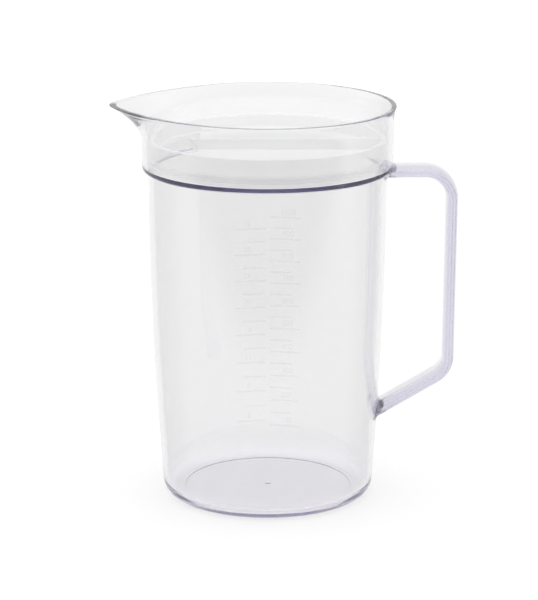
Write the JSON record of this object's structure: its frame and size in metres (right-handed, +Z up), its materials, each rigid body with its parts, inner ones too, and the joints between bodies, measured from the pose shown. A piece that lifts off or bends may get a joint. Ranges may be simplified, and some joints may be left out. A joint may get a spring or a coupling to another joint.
{
  "type": "lidded pitcher",
  "caption": "Clear round pitcher with a wide flared spout, a strap handle and a drop-in lid that turns to open or close the way to the spout.",
  "frame": {"origin": "centre of the jug's underside, on its axis", "axes": "+Z up along the jug's axis, +X towards the handle, the spout towards -X"},
  "size_m": [0.1656, 0.1216, 0.19],
  "materials": {
    "clear_body": "clear moulded plastic with a faint violet tint",
    "clear_handle": "clear moulded plastic with a faint violet tint",
    "milky_lid": "translucent milky plastic",
    "soft_seal": "soft translucent silicone"
  },
  "bodies": {
    "jug": {"jug_body": "clear_body", "handle": "clear_handle"},
    "seal": {"lid_seal": "soft_seal"},
    "lid": {"lid": "milky_lid"}
  },
  "joints": [
    {"name": "lid_lift", "type": "slide", "parent": "jug", "child": "seal", "axis": [0, 0, 1], "range_m": [0, 0.04]},
    {"name": "lid_turn", "type": "hinge", "parent": "seal", "child": "lid", "pos_m": [0, 0, 0.167], "axis": [0, 0, 1], "continuous": true}
  ]
}
